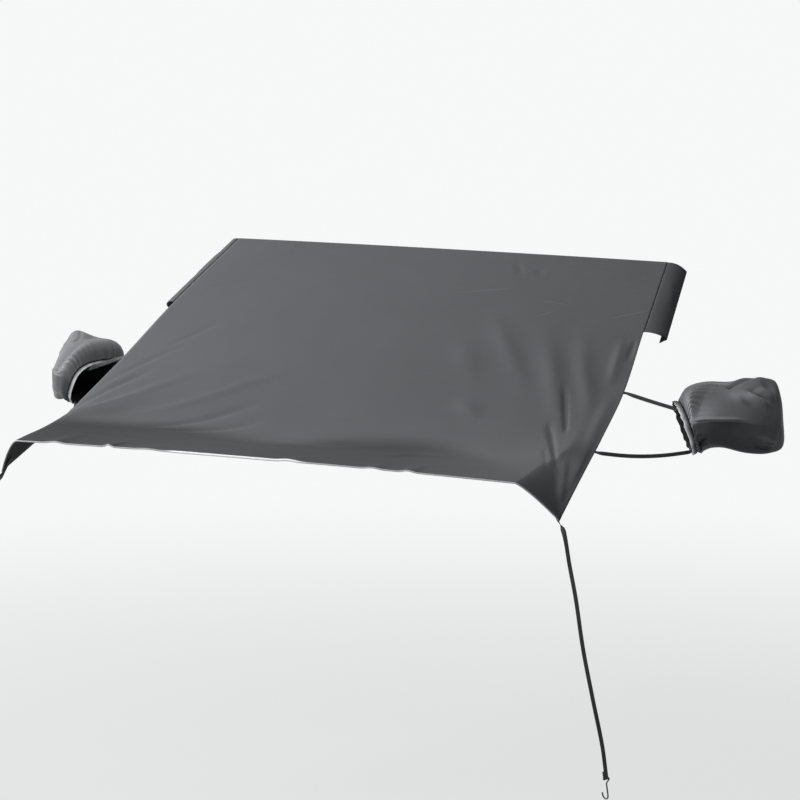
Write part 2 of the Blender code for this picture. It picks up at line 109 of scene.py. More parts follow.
# Sewn edges: the hem's step, the groove of its seam, the stretch where it catches the light and gets a
# painted highlight, how pale the edges are (on the hem a painted light), how round they are, and how
# near the sides the folds die out
HEM_STEP = 0.0005
HEM_STEP_RUN = 0.0015
HEM_GROOVE = 0.0006
HEM_GROOVE_DOWN = 0.001
HEM_GROOVE_WIDTH = 0.0022
HEM_SHINE = (-0.32, 0.21)
HEM_SHINE_SOFT = (0.05, 0.06)
HEM_PAINTED_LIGHT = 0.42
HEM_ROUND = (0.62, 0.34)
ROOF_ROUND = 0.0009
ROOF_PALE = 0.10
BEAD_SIDES = 10
EDGE_KEEPS = 0.02

# Folds of the panel: height, half width at the start and at the end, share of the length over
# which each end dies out, then points as (across, down)
PANEL_FOLDS = (
    (0.0040, 0.024, 0.028, 0.50, (0.360, 0.210), (0.410, 0.263), (0.510, 0.360), (0.600, 0.450),
     (0.700, 0.560)),
    (0.0032, 0.030, 0.030, 0.50, (0.300, 0.330), (0.400, 0.430), (0.480, 0.520)),
    (0.0064, 0.036, 0.020, 0.50, (0.600, 0.250), (0.665, 0.350), (0.730, 0.450), (0.780, 0.540),
     (0.850, 0.670)),
    (0.0058, 0.030, 0.018, 0.50, (0.760, 0.260), (0.795, 0.340), (0.835, 0.433), (0.890, 0.527),
     (0.935, 0.640)),
    (-0.0080, 0.0080, 0.0055, 0.30, (0.780, 0.470), (0.805, 0.523), (0.840, 0.597), (0.885, 0.690)),
    (-0.0058, 0.009, 0.006, 0.25, (0.790, 0.610), (0.815, 0.657), (0.870, 0.743), (0.945, 0.875)),
    (-0.0020, 0.006, 0.006, 0.30, (0.835, 0.730), (0.930, 0.907)),
    (0.0052, 0.014, 0.014, 0.50, (0.925, 0.290), (0.935, 0.340), (0.940, 0.423), (0.935, 0.500)),
    (-0.0050, 0.006, 0.007, 0.45, (0.982, 0.300), (0.976, 0.340), (0.972, 0.400)),
    (0.0042, 0.018, 0.012, 0.30, (0.960, 0.480), (0.965, 0.600), (0.975, 0.740), (0.985, 0.850),
     (0.992, 0.950)),
    (0.0026, 0.007, 0.007, 0.30, (0.940, 0.800), (0.965, 0.880), (0.988, 0.970)),
    (0.0060, 0.032, 0.040, 0.45, (-0.980, 0.860), (-0.900, 0.770), (-0.800, 0.680), (-0.640, 0.590)),
    (-0.0050, 0.010, 0.014, 0.35, (-0.995, 0.760), (-0.960, 0.690), (-0.900, 0.610), (-0.800, 0.520)),
    (0.0034, 0.012, 0.018, 0.40, (-0.960, 0.820), (-0.860, 0.700), (-0.740, 0.600), (-0.560, 0.500)),
    (-0.0030, 0.007, 0.010, 0.40, (-0.990, 0.640), (-0.930, 0.560), (-0.855, 0.490), (-0.745, 0.420)),
    (-0.0024, 0.006, 0.009, 0.40, (-0.865, 0.460), (-0.785, 0.403), (-0.690, 0.340)),
    (-0.0045, 0.011, 0.016, 0.40, (-0.640, 0.800), (-0.505, 0.723), (-0.380, 0.660), (-0.240, 0.600)),
    (-0.0040, 0.011, 0.014, 0.40, (-0.570, 0.803), (-0.385, 0.743), (-0.200, 0.665)),
    (0.0034, 0.013, 0.020, 0.40, (-0.760, 0.740), (-0.600, 0.660), (-0.420, 0.570), (-0.200, 0.480)),
    (-0.0034, 0.016, 0.018, 0.40, (-0.290, 0.760), (-0.095, 0.750), (0.110, 0.760), (0.300, 0.727)),
    (0.0040, 0.016, 0.016, 0.40, (0.300, 0.863), (0.450, 0.820), (0.600, 0.850)),
    (-0.0026, 0.008, 0.008, 0.45, (0.360, 0.030), (0.425, 0.090)),
    (-0.0022, 0.007, 0.007, 0.45, (0.470, 0.050), (0.505, 0.095)),
    (0.0036, 0.024, 0.018, 0.45, (0.420, 0.550), (0.470, 0.575), (0.560, 0.625)),
)

# Fine pressed creases, drawn by the cloth's material as a raised line with a painted highlight along it:
# start and end as (across, down), half width in metres
CREASES = (
    ((0.190, 0.178), (0.425, 0.142), 0.0034),
    ((0.530, 0.181), (0.710, 0.198), 0.0030),
    ((0.565, 0.253), (0.640, 0.218), 0.0030),
    ((0.860, 0.235), (0.995, 0.195), 0.0038),
)

# Painted shade where the cloth turns flatter above its hem: across, down where it starts, depth
PAINTED_SHADE_LINE = (
    (-1.00, 0.850, 0.85),
    (-0.86, 0.820, 1.10),
    (-0.70, 0.785, 1.12),
    (-0.52, 0.755, 1.00),
    (-0.30, 0.765, 0.90),
    (-0.10, 0.780, 0.90),
    (0.10, 0.735, 0.95),
    (0.39, 0.720, 0.90),
    (0.52, 0.750, 0.70),
    (0.66, 0.820, 0.50),
    (0.80, 0.900, 0.30),
    (0.90, 0.950, 0.25),
    (1.00, 0.950, 0.10),
)
PAINTED_SHADE_SOFT = 0.095
# Strength of the painted shade, and of the painted light where the marks fall below zero
PAINTED_LIGHT_AND_SHADE_DEPTH = 0.59

# Strip of painted light along one side edge at the corner: across and down where it starts, how far the
# line moves across with the way down, its soft stretches, and how strong its painted light is
STRIP_ACROSS = 0.925
STRIP_DOWN = 0.740
STRIP_TURNS = 0.867
STRIP_SLOPE = 0.52
STRIP_SOFT = (0.020, 0.100)
STRIP_PAINTED_LIGHT = 0.98

# Door flap
FLAP_OUTER_TOP = Vector((0.043, 0.034, -0.026))
FLAP_OUTER_END = Vector((0.048, 0.043, -0.021))
FLAP_BEND = 0.5
FLAP_INWARD = Vector((-0.86, 0.10, -0.50)).normalized()
FLAP_LIP = ((0.003, 0.004), (0.001, 0.014), (0.000, 0.026))
FLAP_ROWS = 60
FLAP_COLUMNS = 24
FLAP_LIP_STEPS = 10
FLAP_RUN = 0.32
PUCKER = 0.0005
PUCKER_REACH = 0.010
FLAP_FOLD = (0.0016, 0.012, 0.012, 0.25, (0.020, 0.060), (0.045, 0.190))
PIPING = 0.0013

# Mirror pouch stations from its mouth, which is turned further on one side, to its closed end
#    v      x      y       z       depth  up     down   turn   lean
POUCH_MOUTHS = {
    "left": (
        (0.00, 0.882, -0.072, -0.220, 0.098, 0.065, 0.064, -0.50, -0.36),
        (0.05, 0.892, -0.060, -0.211, 0.116, 0.083, 0.074, -0.40, -0.28),
        (0.14, 0.909, -0.046, -0.202, 0.129, 0.086, 0.077, -0.21, -0.16),
    ),
    "right": (
        (0.00, 0.882, -0.072, -0.220, 0.098, 0.065, 0.062, -0.22, -0.36),
        (0.05, 0.892, -0.060, -0.211, 0.116, 0.083, 0.072, -0.19, -0.28),
        (0.14, 0.909, -0.046, -0.202, 0.129, 0.086, 0.077, -0.14, -0.16),
    ),
}
POUCH_BODY = (
    (0.32, 0.942, -0.035, -0.194, 0.131, 0.078, 0.076, -0.05, -0.08),
    (0.55, 0.986, -0.014, -0.194, 0.125, 0.071, 0.077, 0.08, -0.02),
    (0.75, 1.028, 0.014, -0.200, 0.090, 0.060, 0.088, 0.16, -0.04),
    (0.90, 1.061, 0.038, -0.212, 0.055, 0.050, 0.076, 0.20, -0.10),
    (1.00, 1.076, 0.050, -0.218, 0.022, 0.030, 0.042, 0.22, -0.10),
)
POUCH_FRONT_UPPER = 1.30
POUCH_FRONT_LOWER = 2.9
POUCH_REAR = 4.2
MOUTH_CORNER = 2.9
MOUTH_REACH = 0.30
POUCH_SPACING = 1.15
POUCH_TIP = 0.006
POUCH_AROUND = 280
POUCH_ALONG = 110
HORN_ROOT = np.array((1.040, 0.090, -0.140))
HORN_RIDGE = np.array((-0.085, -0.090, 0.020))
HORN_RISE = np.array((0.010, 0.005, 0.038))
HORN_RADIUS = 0.038
GATHERS = 34
GATHER_DEPTH = 0.0034
GATHER_REACH = 0.56
POUCH_SLACK = {"left": 1.15, "right": 0.45}

# Folds of the pouches: height, half width at the start and at the end, share of the length over
# which each end dies out, then points as (degrees round, place along)
POUCH_FOLDS = (
    (0.0060, 0.009, 0.010, 0.50, (110.0, 0.54), (116.0, 0.59), (123.0, 0.67), (131.0, 0.78)),
    (-0.0060, 0.006, 0.006, 0.30, (108.0, 0.50), (90.0, 0.50), (80.0, 0.56), (70.0, 0.63)),
    (0.0050, 0.011, 0.009, 0.35, (84.0, 0.40), (80.0, 0.52), (75.0, 0.64), (64.0, 0.74)),
    (-0.0065, 0.010, 0.009, 0.50, (94.0, 0.62), (92.0, 0.70), (94.0, 0.78), (98.0, 0.90)),
    (-0.0060, 0.010, 0.012, 0.50, (82.0, 0.66), (79.0, 0.76), (74.0, 0.86)),
    (0.0065, 0.007, 0.007, 0.35, (88.0, 0.68), (87.0, 0.78), (86.0, 0.92)),
    (0.0050, 0.012, 0.012, 0.35, (104.0, 0.66), (108.0, 0.76), (112.0, 0.86), (106.0, 0.94)),
    (0.0050, 0.008, 0.008, 0.35, (167.0, 0.16), (168.0, 0.40), (168.0, 0.62), (165.0, 0.84)),
    (0.0060, 0.007, 0.007, 0.35, (190.0, 0.84), (202.0, 0.91), (230.0, 0.95), (262.0, 0.98)),
    (-0.0080, 0.010, 0.010, 0.35, (208.0, 0.80), (224.0, 0.87), (250.0, 0.93)),
    (-0.0055, 0.006, 0.006, 0.30, (232.0, 0.16), (222.0, 0.27), (208.0, 0.42), (200.0, 0.52)),
    (0.0040, 0.007, 0.007, 0.30, (244.0, 0.14), (232.0, 0.30), (216.0, 0.45)),
    (0.0030, 0.012, 0.012, 0.40, (184.0, 0.68), (200.0, 0.76), (222.0, 0.76)),
)
POUCH_GIRTH = 0.11

# Painted shade on the cloth under the front ridge of a pouch: degrees where it starts and ends, and how
# dark the painted shade is
UNDER_RIDGE = (171.0, 322.0)
UNDER_RIDGE_SOFT = (9.0, 40.0)
UNDER_RIDGE_PAINTED_SHADE = 0.62

# Painted light on the cloth above that ridge, on one side only: degrees where it starts, its soft
# stretch, the place along where it ends, and how strong the painted light is
OVER_RIDGE = 118.0
OVER_RIDGE_SOFT = 52.0
OVER_RIDGE_END = 0.95
OVER_RIDGE_PAINTED_LIGHT = {"left": 2.2, "right": 0.0}
# Painted highlight on the horn: its strength on each side, its centre as (degrees, place along) and its
# reach
HORN_PAINTED_HIGHLIGHT = {"left": 2.4, "right": 0.0}
HORN_HIGHLIGHT_AT = (110.0, 0.67)
HORN_HIGHLIGHT_REACH = (22.0, 0.15)

# Gathered mouth, and the section of its frill: share of the band, rise off it, and how strong its
# painted highlight is
MOUTH_BAND = 0.015
MOUTH_THICKNESS = 0.0022
MOUTH_RUFFLE = 0.0016
FRILL_AROUND = 360
FRILL_WAVES = 17.0
FRILL_SWING = 0.10
FRILL_PROFILE = (
    (0.00, -0.0012, 0.00),
    (0.18, -0.0014, 0.00),
    (0.34, 0.0010, 0.20),
    (0.70, 0.0018, 0.45),
    (1.00, 0.0022, 1.00),
    (1.06, 0.0008, 1.00),
    (1.00, -0.0006, 0.80),
    (0.60, -0.0014, 0.30),
    (0.00, -0.0018, 0.00),
)

# Mirror straps: level, place on the panel's edge, degrees round the mouth on each side, sag
MIRROR_STRAPS = (
    ("upper", 0.493, {"left": 106.0, "right": 120.0}, 0.001),
    ("lower", 0.725, {"left": 242.0, "right": 230.0}, 0.011),
)
STRAP_SEWN = 0.020
STRAP_EASE = 0.0009
MOUTH_EASE = 0.0024
STRAP_PLACES = (0.10, 0.30, 0.50, 0.70, 0.90)
STRAP_STEPS = 72
STRAP_LIES = 0.024
STRAP_LIES_IN = 0.010
STRAP_TURN = 0.034
STRAP_TURN_IN = 0.016

# Wheel strap: its sewn seat, and its way down as steps from the panel's lower corner
CORNER_SEAT = (0.972, 0.978)
WHEEL_STRAP_ROUTE = (
    Vector((0.0115, -0.0025, -0.028)),
    Vector((0.033, -0.015, -0.104)),
    Vector((0.062, -0.039, -0.184)),
    Vector((0.092, -0.062, -0.296)),
    Vector((0.121, -0.068, -0.414)),
    Vector((0.140, -0.051, -0.534)),
    Vector((0.148, -0.044, -0.611)),
)
WHEEL_STRAP_STEPS = 130
WHEEL_STRAP_TURN = 0.19
LOOP_DROP = 0.004
LOOP_STEPS = 14
LOOP_TAIL = 0.018
HOOK_WIRE = 0.0019
HOOK_OUTWARD = Vector((0.88, -0.47, 0.0))

# Colours
COVER_COLOUR = (0.112, 0.117, 0.123)
POUCH_COLOUR = (0.130, 0.135, 0.142)
WOVEN_COLOUR = (0.053, 0.055, 0.059)
# Piping along the flap seam: its near-black is the cord's colour and also a painted shadow line of the
# seam
PIPING_AND_SEAM_SHADOW_COLOUR = (0.012, 0.012, 0.014)
WIRE_COLOUR = (0.020, 0.020, 0.022)
# Turned edges: their plain colour, and the pale colour mixed in for the painted light and highlight of
# the hem and a paler tone on the roof edge
EDGE_AND_HIGHLIGHT_COLOURS = ((0.085, 0.090, 0.096), (0.90, 0.91, 0.92))
# Frill: its dark colour, and the pale colour of its painted highlight along the front
FRILL_AND_HIGHLIGHT_COLOURS = ((0.030, 0.032, 0.035), (0.78, 0.79, 0.80))

# Faint waves of the pulled cloth: their slant, and how stretched they are
PULL_SLANT = math.radians(-28.0)
PULL_SCALE = (0.35, 2.6, 1.0)

# Studio: floor, how plain it shows near and far, and the light all round
FLOOR_HEIGHT = -1.44
FLOOR_SIZE = 80.0
FLOOR_COLOUR = (0.28, 0.28, 0.28, 1.0)
FLOOR_FADE = (2.0, 6.0)
FLOOR_PLAIN = 0.76
PAPER = (0.930, 0.935, 0.935, 1.0)
SKY = (0.93, 0.97, 1.0, 1.0)
SKY_LIGHT = 0.13

# Lamps: name, azimuth and elevation in degrees, distance and size in metres, and watts
LIGHTS = (
    ("key", -18.0, 36.0, 6.5, 1.6, 322.0),
    ("side", -84.0, 13.0, 6.0, 1.2, 320.0),
)


def smoothstep(value):
    value = np.clip(value, 0.0, 1.0)
    return value * value * (3.0 - 2.0 * value)


def through(stations, at):
    """Values of a smooth curve through the stations, whose first number is the place."""
    last = len(stations) - 1
    index = 0
    while index < last - 1 and at > stations[index + 1][0]:
        index += 1
    start, end = stations[index], stations[index + 1]
    before = stations[max(index - 1, 0)]
    after = stations[min(index + 2, last)]
    span = end[0] - start[0]
    share = (at - start[0]) / span
    values = []
    for column in range(1, len(start)):
        slope_in = (end[column] - before[column]) / (end[0] - before[0]) * span
        slope_out = (after[column] - start[column]) / (after[0] - start[0]) * span
        cube, square = share ** 3, share ** 2
        values.append(
            (2.0 * cube - 3.0 * square + 1.0) * start[column]
            + (cube - 2.0 * square + share) * slope_in
            + (3.0 * square - 2.0 * cube) * end[column]
            + (cube - square) * slope_out
        )
    return values


def panel_row(across, down):
    """Smooth outer skin of the panel at one station, for an array of places across it."""
    mid_y, mid_z, half, rim_y, rim_z, fall_y, fall_z, starts = through(PANEL_STATIONS, down)
    share = np.abs(across)
    crown = share ** CROWN
    above_hem = float(smoothstep((1.0 - down) / FALL_HEM_SHARE))
    early = starts - FALL_EARLY * above_hem
    reach = np.clip((share - early) / (1.0 - early), 0.0, 1.0)
    flat = FALL_FLAT * above_hem
    curve = HEM_FALL_CURVE + (FALL_CURVE - HEM_FALL_CURVE) * above_hem
    fall = reach ** curve * (1.0 - flat) + smoothstep(reach) * flat
    lift = np.zeros_like(share)
    for place, reach, height in HEM_LIFTS:
        lift += height * smoothstep(1.0 - np.abs(across - place) / reach)
    lift *= smoothstep((down - 0.90) / 0.10)
    return np.stack((
        across * half,
        mid_y + (rim_y - mid_y) * crown + fall_y * fall,
        mid_z + (rim_z - mid_z) * crown + fall_z * fall + lift,
    ), axis=-1)


def panel_point(across, down):
    return Vector(panel_row(np.array([across]), down)[0])


def panel_normal(across, down):
    step = 0.004
    side = panel_point(min(across + step, 1.0), down) - panel_point(across - step, down)
    low = min(down + step, 1.0)
    length = panel_point(across, low) - panel_point(across, down - step)
    return length.cross(side).normalized()


def under_panel(across, down, depth):
    return panel_point(across, down) - panel_normal(across, down) * depth


def seam_point(down):
    return panel_point(1.0, down)


def seam_run(down):
    step = 0.01
    return (seam_point(down + step) - seam_point(max(down - step, 0.0))).normalized()


def seam_outward(down):
    return panel_normal(1.0, down).cross(seam_run(down)).normalized()


def surface_normals(points):
    """Unit normals of a grid of points, pointing to the side that rows cross columns give."""
    down = np.gradient(points, axis=0)
    across = np.gradient(points, axis=1)
    normals = np.cross(down, across)
    return normals / np.linalg.norm(normals, axis=-1, keepdims=True)


def run_lengths(points):
    """Distance of each point along the line of them."""
    return np.concatenate(([0.0], np.cumsum(np.linalg.norm(np.diff(points, axis=0), axis=1))))


def ridge(flat, points, height, from_width, to_width, fade):
    """Height of a rounded fold along a line of points, dying out at both ends."""
    lengths = [np.linalg.norm(np.subtract(end, start)) for start, end in zip(points, points[1:])]
    total = sum(lengths)
    best = np.full(flat.shape[:-1], np.inf)
    place = np.zeros(flat.shape[:-1])
    gone = 0.0
    for start, end, length in zip(points, points[1:], lengths):
        start, run = np.array(start), np.subtract(end, start)
        share = np.clip(((flat - start) @ run) / length ** 2, 0.0, 1.0)
        gap = np.linalg.norm(flat - start - share[..., None] * run, axis=-1)
        nearer = gap < best
        best = np.where(nearer, gap, best)
        place = np.where(nearer, (gone + share * length) / total, place)
        gone += length
    ends = smoothstep(place / fade) * smoothstep((1.0 - place) / fade)
    half_width = from_width + (to_width - from_width) * place
    return height * ends * np.exp(-(best / half_width) ** 2)


def folded(flat, folds, scale):
    """Sum of the folds over a flat grid, with their points scaled to it."""
    height = np.zeros(flat.shape[:-1])
    for rise, from_width, to_width, fade, *line in folds:
        points = [np.array(point) * scale for point in line]
        height += ridge(flat, points, rise, from_width, to_width, fade)
    return height


def direction(azimuth, elevation):
    """Unit vector from the object towards a viewer at that azimuth and elevation."""
    flat = math.cos(elevation)
    return Vector((math.sin(azimuth) * flat, -math.cos(azimuth) * flat, math.sin(elevation)))


# Materials

def new_material(name):
    material = bpy.data.materials.new(name)
    material.use_nodes = True
    tree = material.node_tree
    return material, tree, tree.nodes["Principled BSDF"]


def feed(tree, socket, value):
    """Link the value to the socket if it comes out of a node, or else set it."""
    if isinstance(value, bpy.types.NodeSocket):
        tree.links.new(value, socket)
    else:
        socket.default_value = value


def feed_all(tree, node, **sockets):
    """Feed the sockets that are named; an underscore stands for a space."""
    for name, value in sockets.items():
        feed(tree, node.inputs[name.replace("_", " ")], value)


def add_node(tree, kind, **sockets):
    node = tree.nodes.new("ShaderNode" + kind)
    feed_all(tree, node, **sockets)
    return node


def math_node(tree, operation, *values):
    node = add_node(tree, "Math")
    node.operation = operation
    for socket, value in zip(node.inputs, values):
        feed(tree, socket, value)
    return node.outputs[0]


def vector_node(tree, operation, first, second=None):
    """Vector math; for a scale, the second value is its factor."""
    node = add_node(tree, "VectorMath")
    node.operation = operation
    feed(tree, node.inputs[0], first)
    if second is not None:
        feed(tree, node.inputs["Scale" if operation == "SCALE" else 1], second)
    return node.outputs["Vector" if operation in ("SCALE", "SUBTRACT") else "Value"]


def bump(tree, height, strength, distance, **under):
    node = add_node(tree, "Bump", Height=height, Strength=strength, Distance=distance, **under)
    return node.outputs["Normal"]


def crease_mask(tree, flat, start, end, half_width):
    """1 along a straight crease on the UV map and 0 away from it, fading at its ends."""
    scale = Vector((PANEL_SIZE[0] * 0.5, PANEL_SIZE[1], 0.0))
    first = Vector((*start, 0.0)) * scale
    run = Vector((*end, 0.0)) * scale - first
    away = vector_node(tree, "SUBTRACT", flat, first)
    along = vector_node(tree, "DOT_PRODUCT", away, run / run.length_squared)
    share = math_node(tree, "MULTIPLY", along, 1.0)
    share.node.use_clamp = True
    gap = vector_node(tree, "DISTANCE", away, vector_node(tree, "SCALE", run, share))
    near = add_node(tree, "MapRange", Value=gap, From_Max=half_width, To_Min=1.0, To_Max=0.0)
    near.interpolation_type = "SMOOTHSTEP"
    ends = math_node(tree, "MULTIPLY", share, math_node(tree, "SUBTRACT", 1.0, share))
    return math_node(tree, "MULTIPLY", near.outputs["Result"], math_node(tree, "MULTIPLY", ends, 4.0))


def woven_threads(tree, flat, thread):
    """Height of plain-woven threads: bands both ways."""
    bands = []
    for axis in ("X", "Y"):
        wave = add_node(tree, "TexWave", Vector=flat, Scale=math.pi / (10.0 * thread),
                        Distortion=0.6, Detail=1.0)
        wave.bands_direction = axis
        bands.append(wave.outputs["Fac"])
    return math_node(tree, "MULTIPLY", *bands)


def cloth_tone(tree, place, mottle):
    """Broad changes of tone, fine specks, and the painted shade and painted light that a point attribute
    marks.
    """
    broad = add_node(tree, "TexNoise", Vector=place, Scale=5.0, Detail=5.0, Roughness=0.62)
    tones = math_node(tree, "MULTIPLY_ADD", broad.outputs["Fac"], 2.0 * mottle, 1.0 - mottle)
    fine = add_node(tree, "TexNoise", Vector=place, Scale=420.0, Detail=2.0)
    specks = math_node(tree, "MULTIPLY_ADD", fine.outputs["Fac"], 0.16, 0.92)
    # Painted shade where the point attribute is above zero, painted light where it is below zero
    painted_light_and_shade = add_node(tree, "Attribute")
    painted_light_and_shade.attribute_name = "painted_light_and_shade"
    dim = math_node(tree, "MULTIPLY_ADD", painted_light_and_shade.outputs["Fac"], -PAINTED_LIGHT_AND_SHADE_DEPTH, 1.0)
    return math_node(tree, "MULTIPLY", math_node(tree, "MULTIPLY", tones, specks), dim)


def pulled_lines(tree, flat):
    """Height of faint long waves, slanted as the cloth is pulled."""
    turned = add_node(tree, "Mapping", Vector=flat, Rotation=(0.0, 0.0, PULL_SLANT), Scale=PULL_SCALE)
    waves = add_node(tree, "TexNoise", Vector=turned.outputs["Vector"], Scale=9.0, Detail=4.0,
                     Roughness=0.55)
    return waves.outputs["Fac"]


def cloth_material(name, colour, roughness, thread=0.0011, mottle=0.05, specular=0.02, drag=0.0,
                   creases=()):
    """Plain-woven cloth: threads both ways, small changes of tone, and faint pulled lines."""
    material, tree, shader = new_material(name)
    place = add_node(tree, "TexCoord")
    flat = place.outputs["UV"]
    tone = cloth_tone(tree, place.outputs["Object"], mottle)
    relief = pulled_lines(tree, flat)
    for crease in creases:
        # Each crease lifts the tone by a painted highlight and raises the relief
        pressed = crease_mask(tree, flat, *crease)
        tone = math_node(tree, "MULTIPLY", tone, math_node(tree, "MULTIPLY_ADD", pressed, 0.30, 1.0))
        relief = math_node(tree, "MULTIPLY_ADD", pressed, 0.5, relief)
    threads = bump(tree, woven_threads(tree, flat, thread), 0.22, 0.0002)
    feed_all(tree, shader, Base_Color=vector_node(tree, "SCALE", colour, tone), Roughness=roughness,
             Specular_IOR_Level=specular, Sheen_Weight=0.05, Sheen_Roughness=0.45,
             Normal=bump(tree, relief, 1.0, drag, Normal=threads))
    return material


def elastic_material(name, colour):
    """Ribbed elastic: ribs along its length, a fine crosswise weave, and painted shade in the grooves
    between them.
    """
    material, tree, shader = new_material(name)
    flat = add_node(tree, "TexCoord").outputs["UV"]
    ribs = add_node(tree, "TexWave", Vector=flat, Scale=math.pi / (10.0 * ELASTIC_RIB))
    ribs.bands_direction = "X"
    cross = add_node(tree, "TexWave", Vector=flat, Scale=math.pi / (7.0 * ELASTIC_RIB), Distortion=0.8)
    cross.bands_direction = "Y"
    height = math_node(tree, "MULTIPLY_ADD", cross.outputs["Fac"], 0.4, ribs.outputs["Fac"])
    # Painted shade: the tone follows the height, darker in the grooves
    tone = math_node(tree, "MULTIPLY_ADD", height, 0.35, 0.72)
    feed_all(tree, shader, Base_Color=vector_node(tree, "SCALE", colour, tone), Roughness=0.7,
             Specular_IOR_Level=0.3, Normal=bump(tree, height, 0.5, 0.0004))
    return material


def two_tone_material(name, plain, pale_and_highlight):
    """Turned edge of the cloth, mixed towards its pale colour where a point attribute says: a painted
    highlight on the hem and the frill, a paler tone on the roof edge.
    """
    material = cloth_material(name, plain, 0.6, thread=0.0009, mottle=0.10)
    tree = material.node_tree
    colour = tree.nodes["Principled BSDF"].inputs["Base Color"]
    where = add_node(tree, "Attribute")
    where.attribute_name = "pale_and_highlight"
    mix = add_node(tree, "Mix")
    mix.data_type = "RGBA"
    feed(tree, mix.inputs[0], where.outputs["Fac"])
    feed(tree, mix.inputs[6], colour.links[0].from_socket)
    feed(tree, mix.inputs[7], (*pale_and_highlight, 1.0))
    feed(tree, colour, mix.outputs[2])
    return material


def coated_wire_material(name, colour):
    material, tree, shader = new_material(name)
    place = add_node(tree, "TexCoord").outputs["Object"]
    noise = add_node(tree, "TexNoise", Vector=place, Scale=260.0).outputs["Fac"]
    feed_all(tree, shader, Base_Color=(*colour, 1.0), Normal=bump(tree, noise, 0.2, 0.0002),
             Roughness=math_node(tree, "MULTIPLY_ADD", noise, 0.2, 0.30))
    return material


# Meshes

def new_object(name, data):
    item = bpy.data.objects.new(name, data)
    bpy.context.scene.collection.objects.link(item)
    return item


def grid_object(name, points, uv, material, closed=False, tip=None, marks=None):
    """Mesh over a grid of points, with a UV map in metres, an optional tip fan and point values."""
    rows, columns = points.shape[:2]
    vertices = [tuple(point) for point in points.reshape(-1, 3)]
    faces = []
    corners = []
    flat_uv = uv.reshape(-1, 2)
    around = float(uv[0, -1, 0] - uv[0, -2, 0]) if closed else 0.0
    for row in range(rows - 1):
        for column in range(columns if closed else columns - 1):
            nxt = (column + 1) % columns
            face = (row * columns + column, row * columns + nxt,
                    (row + 1) * columns + nxt, (row + 1) * columns + column)
            faces.append(face)
            spots = [flat_uv[index].copy() for index in face]
            if nxt == 0:
                spots[1][0] = flat_uv[face[0]][0] + around
                spots[2][0] = flat_uv[face[3]][0] + around
            corners.extend(spots)
    if tip is not None:
        vertices.append(tuple(tip))
        last = (rows - 1) * columns
        for column in range(columns):
            face = (last + column, last + (column + 1) % columns, len(vertices) - 1)
            faces.append(face)
            corners.extend([flat_uv[face[0]], flat_uv[face[0]], flat_uv[face[0]]])
    mesh = bpy.data.meshes.new(name)
    mesh.from_pydata(vertices, [], faces)
    layer = mesh.uv_layers.new(name="metres")
    layer.data.foreach_set("uv", np.array(corners, dtype=np.float32).ravel())
    for mark, values in (marks or {}).items():
        attribute = mesh.attributes.new(mark, "FLOAT", "POINT")
        shown = np.zeros(len(vertices), dtype=np.float32)
        shown[:values.size] = values.ravel()
        attribute.data.foreach_set("value", shown)
    mesh.shade_smooth()
    mesh.materials.append(material)
    return new_object(name, mesh)


def mirror(points, sign):
    """The same grid on the cover's other side, turned so that its faces still point out."""
    points = points * np.array((sign, 1.0, 1.0))
    return points if sign > 0 else points[:, ::-1]


def thicken(item, thickness, group=None, thin=0.0):
    """Wall inwards from the skin, thin outside the vertex group if there is one."""
    shell = item.modifiers.new("Thickness", "SOLIDIFY")
    shell.thickness = thickness
    shell.offset = -1.0
    if group is not None:
        shell.vertex_group = group
        shell.thickness_vertex_group = thin


def bead(name, centres, sizes, material, pale_and_highlight):
    """A rounded edge along the centres, with a radius and a paleness (on the hem a painted light) for
    each of them.
    """
    rows = []
    last = len(centres) - 1
    for place, (centre, size) in enumerate(zip(centres, sizes)):
        run = (centres[min(place + 1, last)] - centres[max(place - 1, 0)]).normalized()
        side = run.cross(UPWARD).normalized()
        rise = side.cross(run)
        ring = []
        for step in range(BEAD_SIDES):
            turn = -2.0 * math.pi * step / BEAD_SIDES
            ring.append(tuple(centre + side * size * math.cos(turn) + rise * size * math.sin(turn)))
        rows.append(ring)
    points = np.array(rows)
    lengths = run_lengths(points[:, 0])
    side_width = 2.0 * math.pi / BEAD_SIDES * float(np.mean(sizes))
    uv = np.stack(np.meshgrid(np.arange(BEAD_SIDES) * side_width, lengths), axis=-1)
    pale_and_highlight_rows = np.repeat(np.array(pale_and_highlight)[:, None], BEAD_SIDES, axis=1)
    item = grid_object(name, points, uv, material, closed=True, marks={"pale_and_highlight": pale_and_highlight_rows})
    close_ends(item)
    return item


def close_ends(item):
    data = bmesh.new()
    data.from_mesh(item.data)
    edges = [edge for edge in data.edges if edge.is_boundary]
    bmesh.ops.holes_fill(data, edges=edges)
    bmesh.ops.recalc_face_normals(data, faces=data.faces)
    data.to_mesh(item.data)
    data.free()


def smooth_route(points, steps):
    distances = [0.0]
    for start, end in zip(points, points[1:]):
        distances.append(distances[-1] + (end - start).length)
    stations = [(place, *point) for place, point in zip(distances, points)]
    return [Vector(through(stations, distances[-1] * step / steps)) for step in range(steps + 1)]


